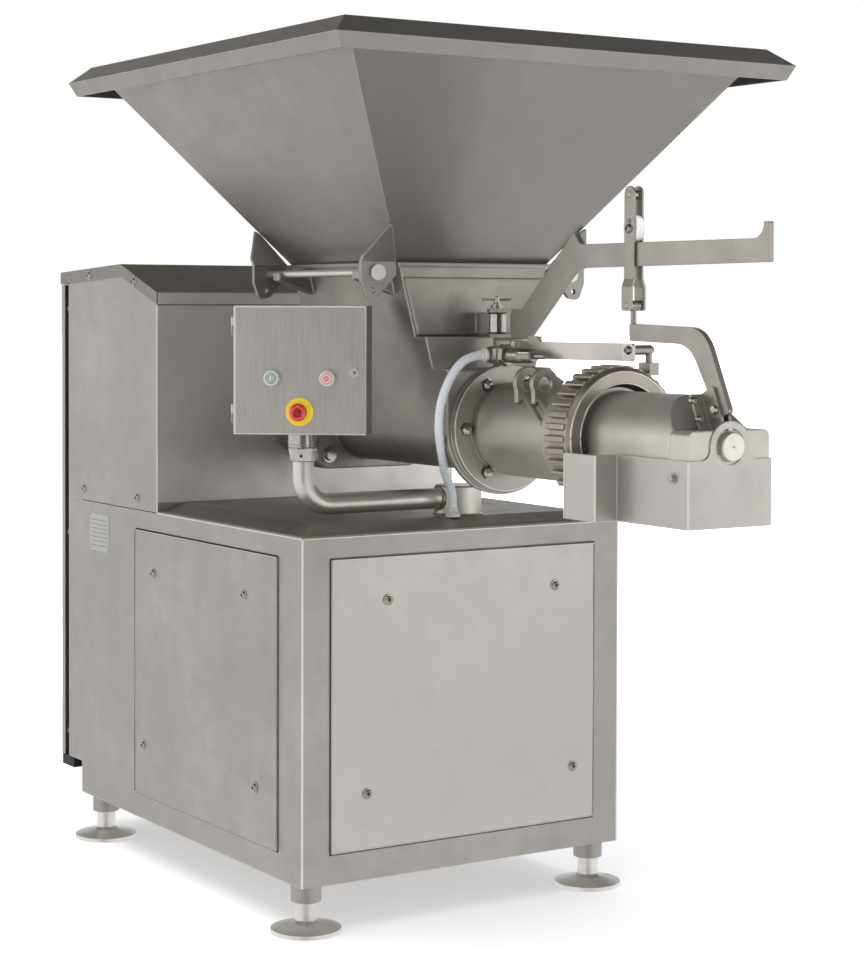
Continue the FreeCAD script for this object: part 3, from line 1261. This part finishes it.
def tab_frame(shape):
    """From a frame whose +X runs along the strap's straight end, to the strap's own place."""
    run = V(LOCK_END[0] - LOCK_BEND[0], LOCK_END[1] - LOCK_BEND[1], 0)
    turn = FreeCAD.Rotation(V(1, 0, 0), run)
    place = FreeCAD.Placement(V(LOCK_BEND[0], LOCK_BEND[1], 0), turn)
    return shape.transformGeometry(place.toMatrix())


def lock_strap():
    near, far = bowed(LOCK_THICK / 2), bowed(-LOCK_THICK / 2)
    edges = [Part.Arc(*near).toShape(), Part.makeLine(near[2], far[2]),
             Part.Arc(far[2], far[1], far[0]).toShape(), Part.makeLine(far[0], near[0])]
    strap = Part.Face(Part.Wire(edges)).extrude(V(0, 0, LOCK_HIGH - LOCK_LOW))
    strap.translate(V(0, 0, LOCK_LOW))
    half = LOCK_THICK / 2
    tab = slab(((-2, LOCK_LOW), (LOCK_TAB, LOCK_LOW, 6), (LOCK_TAB, LOCK_HIGH, 6), (-2, LOCK_HIGH)),
               "Y", -half, half)
    x, z = LOCK_BOLT
    tab = tab.cut(rod((x, -half, z), (x, half, z), LOCK_BOLT_R + HOLE_CLEARANCE))
    eye = rod((LOCK_PIN_X, 0, LOCK_LOW), (LOCK_PIN_X, 0, LOCK_HIGH), LOCK_EYE_R)
    plate = slab(((LOCK_PIN_X + 60, LOCK_LOW + 30), (LOCK_PIN_X + 60, LOCK_HIGH + 11.5, 3),
                  (LOCK_PIN_X + 86, LOCK_HIGH + 11.5, 3), (LOCK_PIN_X + 103, LOCK_HIGH - 0.5),
                  (LOCK_PIN_X + 103, LOCK_LOW + 30)), "Y", -12.5, -4.5)
    whole = fused([strap, eye, tab_frame(tab), plate])
    whole = whole.cut(slab(((LOCK_PIN_X + 20, LOCK_LOW - 1), (LOCK_PIN_X + 20, LOCK_LOW + 20),
                            (LOCK_PIN_X + 123, LOCK_LOW - 1)), "Y", -50, 50))
    return whole.cut(rod((LOCK_PIN_X, 0, LOCK_LOW), (LOCK_PIN_X, 0, LOCK_HIGH), LOCK_PIN_R + RUNNING_FIT))


def lock_block():
    """The bolt through the strap's end, and the stop block that hangs from it over the ring's teeth."""
    x, z = LOCK_BOLT
    seat = LOCK_THICK / 2 + 0.2
    r = LOCK_BOLT_R
    bolt = turned(((-seat - 9, 0), (-seat - 7, 6), (-seat - 2, 8), (-seat, 9.5), (-seat, r), (seat, r),
                   (seat, 10), (seat + 57, 10), (seat + 57, 7), (seat + 63, 7), (seat + 64, 0)),
                  (x, 0, z), (0, 1, 0))
    socket_hole = rod((x, -seat - 10, z), (x, -seat - 4, z), 3)
    bolt = bolt.cut(socket_hole)
    hang = rod((x, BLOCK_Y, BLOCK_LOW + 20), (x, BLOCK_Y, z), 7)
    pad = block((x - 15, x + 15), (BLOCK_Y - 14, BLOCK_Y + 14), (BLOCK_LOW, BLOCK_LOW + 26))
    return tab_frame(fused([bolt, hang, pad]))


def lock_bracket():
    """The bracket on the trough's nose: a clevis with the strap's pin, and a tab for the sensor."""
    x0, x1 = NECK_FRONT + 2, NECK_FRONT + NOSE_PLATE - 1
    half = 19.0
    top = LOCK_HIGH + 5
    back = block((x0, x1), (-half, half), (NOSE_TOP, top))
    lower = block((x0, LOCK_PIN_X + 30), (-half, half), (LOCK_LOW - 10, LOCK_LOW - 1))
    upper = block((x0, LOCK_PIN_X + 16), (-half, half), (LOCK_HIGH + 0.6, top))
    pin = rod((LOCK_PIN_X, 0, LOCK_LOW - 10), (LOCK_PIN_X, 0, top), LOCK_PIN_R)
    tab = block(SENSOR_TAB, (-17, 42), (LOCK_LOW - 10, LOCK_LOW - 1))
    plate = block(SENSOR_TAB, (-17, 17), (LOCK_LOW - 10, SENSOR_Z + 17))
    hole = rod((SENSOR_TAB[0], 0, SENSOR_Z), (SENSOR_TAB[1], 0, SENSOR_Z), SENSOR_R + HOLE_CLEARANCE)
    return fused([back, lower, upper, pin, sensor_frame(tab.fuse(plate).cut(hole))])


def sensor_frame(shape):
    """From a frame whose +X is the sensor's axis, its elbow at the origin, to its place."""
    place = FreeCAD.Placement(V(SENSOR_ELBOW[0], SENSOR_ELBOW[1], 0), FreeCAD.Rotation(V(0, 0, 1), SENSOR_YAW))
    return shape.transformGeometry(place.toMatrix())


def sensor():
    """A rod sensor with an elbow for its hose, and the two nuts that hold it in the bracket."""
    z = SENSOR_Z
    r = SENSOR_R
    body = turned(((-9, 0), (-9, r - 2), (-6, r + 1), (14, r + 1), (14, r), (58, r), (58, r + 2), (60, r + 3),
                   (92, r + 3), (94, r + 1), (132, r + 1), (134, r - 1), (134, 6), (168, 6), (169, 5), (169, 0)),
                  (0, 0, z), (1, 0, 0))
    x, y = SENSOR_ELBOW
    end = HOSE_ROUTE[-1][1] + 0.1
    elbow = [rod((x, y, z), (x, end, z), 11), rod((x, end + 13, z), (x, end + 3, z), 16)]
    nuts = []
    for start in (SENSOR_TAB[0] - 14.2, SENSOR_TAB[1] + 0.2):
        nuts.append(rod((start, 0, z), (start + 14, 0, z), SENSOR_NUT_R))
    return fused([sensor_frame(fused([body] + nuts))] + elbow)


add("ring_lock_strap", lock_strap())
add("ring_lock_block", lock_block())
add("lock_bracket", lock_bracket())
add("ring_sensor", sensor())


def hose_path():
    """Straight runs joined by tangent arcs, each as large as its two runs allow."""
    points = [V(*p) for p in HOSE_ROUTE]
    edges = []
    here = points[0]
    for i in range(1, len(points) - 1):
        back = points[i - 1].sub(points[i])
        on = points[i + 1].sub(points[i])
        shorter = min(back.Length, on.Length)
        half = back.getAngle(on) / 2
        reach = 0.45 * shorter
        radius = reach * math.tan(half)
        print("hose arc", i, "radius", round(radius, 1), "in diameters", round(radius / HOSE_R / 2, 2))
        back.normalize()
        on.normalize()
        split = back.add(on).normalize()
        start = points[i].add(V(back).multiply(reach))
        end = points[i].add(V(on).multiply(reach))
        middle = points[i].add(split.multiply(radius / math.sin(half) - radius))
        edges.append(Part.LineSegment(here, start).toShape())
        edges.append(Part.Arc(start, middle, end).toShape())
        here = end
    edges.append(Part.LineSegment(here, points[-1]).toShape())
    return Part.Wire(edges)


def hose():
    path = hose_path()
    start = V(*HOSE_ROUTE[0])
    along = V(*HOSE_ROUTE[1]).sub(start)
    ring = Part.Wire(Part.makeCircle(HOSE_R, start, along))
    solid = path.makePipeShell([ring], True, False)
    expected = math.pi * HOSE_R ** 2 * path.Length
    print("hose length", round(path.Length, 1), "volume share", round(solid.Volume / expected, 4))
    return solid


add("sensor_hose", hose())
crown_top = CAB_TOP + TABLE_EDGE + TABLE_CROWN
add("hose_gland", turned(((crown_top, 0), (crown_top, 17), (crown_top + 8, 17), (crown_top + 8, 13),
                          (crown_top + 13.9, 12), (crown_top + 13.9, 0)), (HOSE_ROUTE[0][0], HOSE_ROUTE[0][1], 0),
                         (0, 0, 1)))


# Hopper

def skin(low, low_z, high, high_z, inset):
    """The space inside a sloping sheet between two rectangles, drawn in by inset."""
    return between(rectangle(*low, low_z, -inset), rectangle(*high, high_z, -inset))


def hopper():
    base = TROUGH_TOP + HOP_SEAT
    bin_wall = skin(HOP_BOTTOM, base, HOP_TOP, HOP_TOP_Z, 0)
    bin_wall = bin_wall.cut(skin(HOP_BOTTOM, base, HOP_TOP, HOP_TOP_Z, HOP_SHEET))
    brow = skin(HOP_LIP, HOP_LIP_Z, HOP_TOP, HOP_TOP_Z, 0)
    lower = skin(HOP_LIP, HOP_LIP_Z - HOP_SHEET, HOP_TOP, HOP_TOP_Z - HOP_SHEET, HOP_SHEET)
    brow = brow.cut(lower).cut(skin(HOP_BOTTOM, base, HOP_TOP, HOP_TOP_Z, HOP_SHEET))
    hem = skin(HOP_RETURN, HOP_RETURN_Z, HOP_LIP, HOP_LIP_Z, 0)
    hem = hem.cut(skin(HOP_RETURN, HOP_RETURN_Z, HOP_LIP, HOP_LIP_Z, HOP_SHEET))
    return fused([bin_wall, brow, hem])


def ear_plates():
    """Four ears in the plane of the hopper's end walls, bent upright below, with holes for the rods."""
    plates = []
    rise = HOP_TOP_Z - TROUGH_TOP
    base = TROUGH_TOP + HOP_SEAT
    for end in (0, 1):
        lean = (HOP_TOP[end] - HOP_BOTTOM[end]) / rise
        start = HOP_BOTTOM[end] if end else HOP_BOTTOM[end] - EAR_PLATE
        for side in (-1, 1):
            wide, near = ROD_Y + 39, ROD_Y - 47
            flat = slab(((side * wide, ROD_Z - 20, 6), (side * wide, base), (side * near, base),
                         (side * near, ROD_Z - 5, 8), (side * (ROD_Y - 2), ROD_Z - 53, 14),
                         (side * (ROD_Y + 24), ROD_Z - 58, 14)), "X", start, start + EAR_PLATE)
            slope = (HOP_TOP[3] - HOP_BOTTOM[3]) / rise
            raised = []
            tip = ROD_Z + 92
            wall = HOP_BOTTOM[3] + (tip - base) * slope
            for y, z in ((wide, base), (near, base), (wall + 0.5, tip), (wall + 10, tip + 8), (wide, ROD_Z + 35)):
                raised.append(V(start + (z - base) * lean, side * y, z))
            wing = Part.Face(Part.makePolygon(raised + raised[:1])).extrude(V(EAR_PLATE, 0, 0))
            plate = flat.fuse(wing)
            plate = plate.cut(skin(HOP_BOTTOM, base, HOP_TOP, HOP_TOP_Z, 0))
            eye = rod((start, side * ROD_Y, ROD_Z), (start + EAR_PLATE, side * ROD_Y, ROD_Z),
                      ROD_R + RUNNING_FIT)
            small = rod((start, side * (ROD_Y + 10), ROD_Z - 38),
                        (start + EAR_PLATE, side * (ROD_Y + 10), ROD_Z - 38), 6)
            plates.append(plate.cut(eye).cut(small).removeSplitter())
    return plates


def headed_rod(y):
    x0 = HOP_BOTTOM[0] - EAR_PLATE - 8
    x1 = HOP_BOTTOM[1] + EAR_PLATE
    profile = [(x0, 0), (x0, ROD_R - 2), (x0 + 2, ROD_R), (x1 + 0.3, ROD_R), (x1 + 0.3, ROD_HEAD_R),
               (x1 + 7, ROD_HEAD_R), (x1 + 8, ROD_HEAD_R - 1), (x1 + 8, 0)]
    return turned(profile, (0, y, ROD_Z), (1, 0, 0))


add("hopper", fused([hopper()] + ear_plates()))
add("release_rod", headed_rod(-ROD_Y))
add("hinge_rod", headed_rod(ROD_Y))


# Control box on its post

def conduit():
    """The pipe from the pedestal across to the post, with its bend up to the swivel."""
    start = V(POST_X, PEDESTAL[1] - PEDESTAL_R + 4, PIPE_Z)
    bend = PIPE_BEND
    centre = V(POST_X, POST_Y + bend, PIPE_Z + bend)
    into = V(POST_X, POST_Y + bend, PIPE_Z)
    up = V(POST_X, POST_Y, PIPE_Z + bend)
    middle = centre.add(V(0, -bend / math.sqrt(2), -bend / math.sqrt(2)))
    top = V(POST_X, POST_Y, COLLAR_LOW + 14)
    path = Part.Wire([Part.LineSegment(start, into).toShape(), Part.Arc(into, middle, up).toShape(),
                      Part.LineSegment(up, top).toShape()])
    solid = None
    for radius in (PIPE_R, PIPE_R - 3):
        ring = Part.Wire(Part.makeCircle(radius, start, V(0, -1, 0)))
        pipe = path.makePipeShell([ring], True, False)
        solid = pipe if solid is None else solid.cut(pipe)
    return solid


def pedestal():
    x, y = PEDESTAL
    low = crown_top
    can = turned(((low, 0), (low, PEDESTAL_R + 3), (low + 4, PEDESTAL_R), (PEDESTAL_TOP - 4, PEDESTAL_R),
                  (PEDESTAL_TOP, PEDESTAL_R - 4), (PEDESTAL_TOP, 0)), (x, y, 0), (0, 0, 1))
    return can.cut(rod((x, y - PEDESTAL_R + 4, PIPE_Z), (x, y - PEDESTAL_R - 5, PIPE_Z), PIPE_R + 0.1))


def swivel_lower():
    """The fixed half of the swivel, clamped on the pipe."""
    low = COLLAR_LOW
    return turned(((low, PIPE_R + 0.1), (low, 27), (low + 6, 27), (low + 10, 24.5), (low + 22, 31),
                   (low + 30, 31), (low + 30, PIPE_R + 0.1)), (POST_X, POST_Y, 0), (0, 0, 1))


def swivel_upper():
    """The turning half, fast to the underside of the box."""
    low = COLLAR_LOW + 30.4
    return turned(((low, 15), (low, 31), (low + 4, 33), (BOX_LOW - 0.2, 33), (BOX_LOW - 0.2, 15)),
                  (POST_X, POST_Y, 0), (0, 0, 1))


def at_box(shape):
    """From the box's own frame, facing -Y, to its place on the post."""
    copy = shape.copy()
    copy.rotate(V(0, 0, 0), V(0, 0, 1), BOX_YAW)
    copy.translate(V(POST_X, POST_Y, 0))
    return copy


DOOR_FACE = -BOX_DEPTH / 2
DOOR_BACK = DOOR_FACE + DOOR_DEPTH
BODY_FRONT = DOOR_BACK + 0.6
HINGE_X = -BOX_WIDE / 2 - 4.5
HINGE_Y = DOOR_BACK + 0.3


def box_body():
    half = BOX_WIDE / 2
    t = BOX_SHEET
    shell = block((-half, half), (BODY_FRONT, BOX_DEPTH / 2), (BOX_LOW, BOX_HIGH))
    shell = shell.cut(block((t - half, half - t), (BODY_FRONT + t, BOX_DEPTH / 2 - t),
                            (BOX_LOW + t, BOX_HIGH - t)))
    shell = shell.cut(block((18 - half, half - 18), (BODY_FRONT, BODY_FRONT + t),
                            (BOX_LOW + 18, BOX_HIGH - 18)))
    shell = shell.cut(rod((0, 0, BOX_LOW - 1), (0, 0, BOX_LOW + t + 1), 15))
    for z in HINGE_ZS:
        leaf = block((HINGE_X - 1, -half), (HINGE_Y + 2, HINGE_Y + 26), (z, z + 20))
        knuckle = rod((HINGE_X, HINGE_Y, z), (HINGE_X, HINGE_Y, z + 20), 4)
        shell = shell.fuse([leaf, knuckle])
        shell = shell.fuse(rod((HINGE_X, HINGE_Y, z), (HINGE_X, HINGE_Y, z + 40), 2))
    return at_box(shell.removeSplitter())


def box_door():
    half = BOX_WIDE / 2
    t = BOX_SHEET
    door = slab(((-half, DOOR_BACK), (-half, DOOR_FACE, 4), (half, DOOR_FACE, 4), (half, DOOR_BACK)),
                "Z", BOX_LOW, BOX_HIGH)
    door = door.cut(block((t - half, half - t), (DOOR_FACE + t, DOOR_BACK), (BOX_LOW + t, BOX_HIGH - t)))
    for z in HINGE_ZS:
        leaf = block((HINGE_X - 1, -half + 1), (DOOR_FACE + 5, HINGE_Y - 2), (z + 20.4, z + 40))
        leaf = leaf.fuse(rod((HINGE_X, HINGE_Y, z + 20.4), (HINGE_X, HINGE_Y, z + 40), 4))
        leaf = leaf.cut(block((t - half, half), (DOOR_FACE + t, DOOR_BACK), (BOX_LOW + t, BOX_HIGH - t)))
        door = door.fuse(leaf)
        door = door.cut(rod((HINGE_X, HINGE_Y, z + 20), (HINGE_X, HINGE_Y, z + 41), 2 + RUNNING_FIT))
    holes = [(-BUTTON_X, BUTTON_Z, 8.2), (BUTTON_X, BUTTON_Z, 8.2), (0, ESTOP_Z, 8.2), (LATCH_X, LATCH_Z, 6.2)]
    for x, z, r in holes:
        door = door.cut(rod((x, DOOR_FACE - 1, z), (x, DOOR_FACE + t + 1, z), r))
    return at_box(door.removeSplitter())


HINGE_ZS = (BOX_LOW + 24, BOX_HIGH - 64)


def facing(profile, x, z):
    """A turned piece on the door, its axis standing out of the door's face."""
    return at_box(turned(profile, (x, DOOR_FACE, z), (0, -1, 0)))


def push_button(x):
    return facing(((-11, 0), (-11, 8), (7.5, 8), (7.5, BUTTON_R - 3.6), (13, BUTTON_R - 3.6),
                   (14.5, BUTTON_R - 5.5), (14.5, 0)), x, BUTTON_Z)


def bezel(x):
    return facing(((0, 8.3), (0, BUTTON_R), (9, BUTTON_R), (11.5, BUTTON_R - 1.5), (11.5, BUTTON_R - 3.2),
                   (4, BUTTON_R - 3.2), (4, 8.3)), x, BUTTON_Z)


add("conduit_pedestal", pedestal())
add("conduit_pipe", conduit())
add("swivel_base", swivel_lower())
add("swivel_cap", swivel_upper())
add("control_box", box_body())
add("box_door", box_door())
add("door_latch", fused([facing(((-8, 0), (-8, 6), (0, 6), (0, 11), (3, 10), (3, 0)), LATCH_X, LATCH_Z),
                         at_box(block((LATCH_X - 6, LATCH_X + 6), (DOOR_FACE + 8, DOOR_FACE + 11),
                                      (LATCH_Z - 6, LATCH_Z + 16)))]))
add("button_bezels", bezel(-BUTTON_X), bezel(BUTTON_X))
add("start_button", push_button(-BUTTON_X))
add("stop_button", push_button(BUTTON_X))
add("estop_collar", facing(((0, 8.06), (0, 30), (2, 30), (3, 29), (3, 15), (5, 14), (5, 8.06)), 0, ESTOP_Z))
add("estop_stem", facing(((-14, 0), (-14, 8), (12, 8), (12, 5), (20, 5), (20, 0)), 0, ESTOP_Z))
add("estop_button", facing(((12.3, 5 + RUNNING_FIT), (12.3, 13), (18, 15), (21, ESTOP_R), (27, ESTOP_R),
                            (31, ESTOP_R - 5), (32, 8), (32, 0), (20.3, 0), (20.3, 5 + RUNNING_FIT)), 0, ESTOP_Z))

for name, shape in PARTS.items():
    if not shape.isValid():
        print("not valid:", name)
    shape.exportStep(f"parts/{name}.step")
print(len(PARTS), "nodes")
